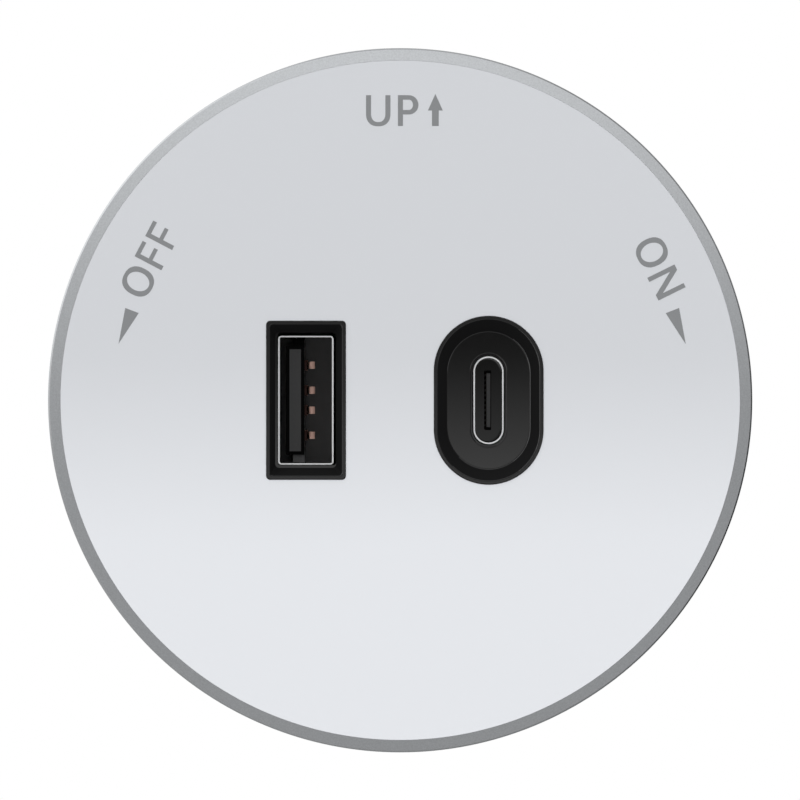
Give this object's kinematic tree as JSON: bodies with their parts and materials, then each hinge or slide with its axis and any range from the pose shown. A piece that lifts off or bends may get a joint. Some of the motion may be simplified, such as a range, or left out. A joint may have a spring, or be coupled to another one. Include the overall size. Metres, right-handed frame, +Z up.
{
  "type": "power track usb socket",
  "caption": "Round USB charging socket that twists into a power track, with USB-A and USB-C ports in a silver face, a metal trim ring and a T-shaped locking key.",
  "frame": {"origin": "on the turning axis, in the plane where the module lies on the track", "axes": "+Z up, towards the UP mark; +X to the right as seen from the front; +Y into the track, so the ports face -Y"},
  "size_m": [0.07, 0.044, 0.07],
  "materials": {
    "rim": "satin",
    "face": "silver satin",
    "bezel": "black satin",
    "shell": "plated",
    "insulator": "black",
    "contact": "copper alloy",
    "board": "glass epoxy",
    "ferrite": "matt",
    "bobbin": "moulded",
    "winding": "taped winding",
    "can": "sleeved aluminium can",
    "disc": "dipped",
    "chip": "moulded",
    "housing": "black moulded",
    "screw": "zinc plated",
    "collar": "dark grey moulded",
    "spring": "spring steel",
    "key": "black glass-filled"
  },
  "bodies": {
    "track_guide": {"guide_collar": "collar"},
    "socket_head": {"trim_ring": "rim", "face_plate": "face", "usb_a_bezel": "bezel", "usb_c_bezel": "bezel", "usb_a_shell": "shell", "usb_a_insulator": "insulator", "usb_a_contacts": "contact", "usb_c_shell": "shell", "usb_c_insulator": "insulator", "usb_c_contacts": "contact", "main_board": "board", "transformer_core": "ferrite", "transformer_bobbin": "bobbin", "transformer_winding": "winding", "input_capacitors": "can", "output_capacitor": "can", "choke": "ferrite", "fuse": "chip", "y_capacitor": "disc", "bridge_rectifier": "chip", "controller_chips": "chip", "rear_housing": "housing", "housing_screws": "screw", "key_screws": "screw", "detent_springs": "spring", "key_body": "key", "key_cap": "key", "key_cap_screws": "screw", "live_spring": "spring", "neutral_spring": "spring", "earth_spring": "spring", "live_busbar": "contact", "neutral_busbar": "contact", "earth_busbar": "contact"},
    "live_contact": {"live_contact": "contact"},
    "neutral_contact": {"neutral_contact": "contact"},
    "earth_contact": {"earth_contact": "contact"}
  },
  "joints": [
    {"name": "twist_lock", "type": "hinge", "parent": "track_guide", "child": "socket_head", "pos_m": [0, 0, 0], "axis": [0, 1, 0], "range_deg": [0, 90], "deforming": ["detent_springs"]},
    {"name": "live_contact_travel", "type": "slide", "parent": "socket_head", "child": "live_contact", "axis": [-1, 0, 0], "range_m": [0, 0.0012], "stiffness_N_per_m": 1000, "springref_m": -0.0012, "deforming": ["live_spring"]},
    {"name": "neutral_contact_travel", "type": "slide", "parent": "socket_head", "child": "neutral_contact", "axis": [1, 0, 0], "range_m": [0, 0.0012], "stiffness_N_per_m": 1000, "springref_m": -0.0012, "deforming": ["neutral_spring"]},
    {"name": "earth_contact_travel", "type": "slide", "parent": "socket_head", "child": "earth_contact", "axis": [0, -1, 0], "range_m": [0, 0.0012], "stiffness_N_per_m": 1000, "springref_m": -0.0012, "deforming": ["earth_spring"]}
  ]
}
